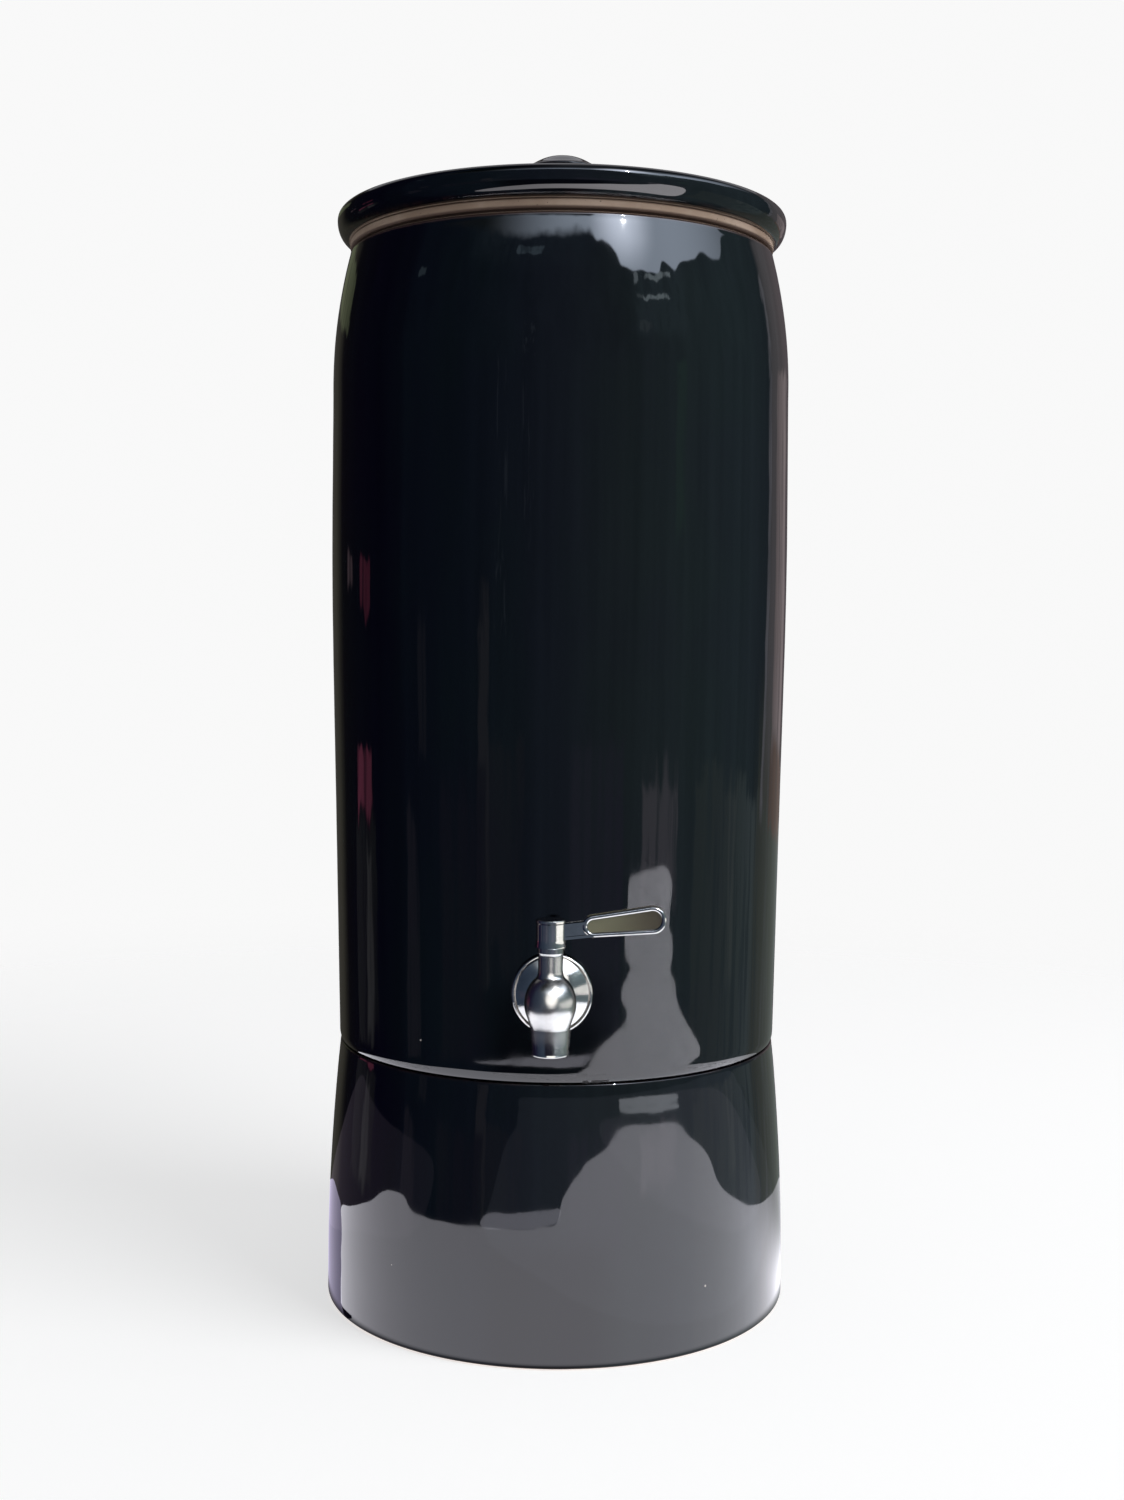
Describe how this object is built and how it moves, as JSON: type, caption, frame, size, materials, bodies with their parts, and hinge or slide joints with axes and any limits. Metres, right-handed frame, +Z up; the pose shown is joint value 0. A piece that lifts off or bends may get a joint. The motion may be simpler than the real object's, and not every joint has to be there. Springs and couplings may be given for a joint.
{
  "type": "clay water pot with tap",
  "caption": "Tall round glazed clay water pot on its own stand, with a lift-off lid, a hanging unglazed clay filter pot and a lever tap near its foot.",
  "frame": {"origin": "centre of the stand's flat underside, on the pot's upright axis", "axes": "+Z up along the pot's axis, -Y towards the tap and the person using it, +X to the right of someone facing the tap, where the closed lever points"},
  "size_m": [0.1932, 0.23, 0.48],
  "materials": {
    "black_glaze": "glossy blue-black glaze",
    "raw_clay": "unglazed, matte",
    "polished_steel": "mirror polished",
    "plain_steel": "machined",
    "silicone": "translucent white silicone"
  },
  "bodies": {
    "stand": {"base_stand": "black_glaze"},
    "pot": {"vessel": "black_glaze", "tap_body": "polished_steel", "outer_washer": "silicone", "inner_washer": "silicone", "flat_washer": "plain_steel", "lock_nut": "plain_steel", "port_seal": "silicone", "stem_o_ring": "silicone", "gland_nut": "polished_steel"},
    "filter": {"filter_pot": "raw_clay"},
    "cover": {"lid": "black_glaze"},
    "lever": {"lever_handle": "polished_steel", "valve_core": "plain_steel", "cap_screw": "polished_steel"}
  },
  "joints": [
    {"name": "vessel_lift", "type": "slide", "parent": "stand", "child": "pot", "axis": [0, 0, 1], "range_m": [0, 0.08]},
    {"name": "filter_lift", "type": "slide", "parent": "pot", "child": "filter", "axis": [0, 0, 1], "range_m": [0, 0.28]},
    {"name": "lid_lift", "type": "slide", "parent": "filter", "child": "cover", "axis": [0, 0, 1], "range_m": [0, 0.12]},
    {"name": "lever_turn", "type": "hinge", "parent": "pot", "child": "lever", "pos_m": [0, -0.124, 0.1628], "axis": [0, 0, 1], "range_deg": [-90, 0]}
  ]
}
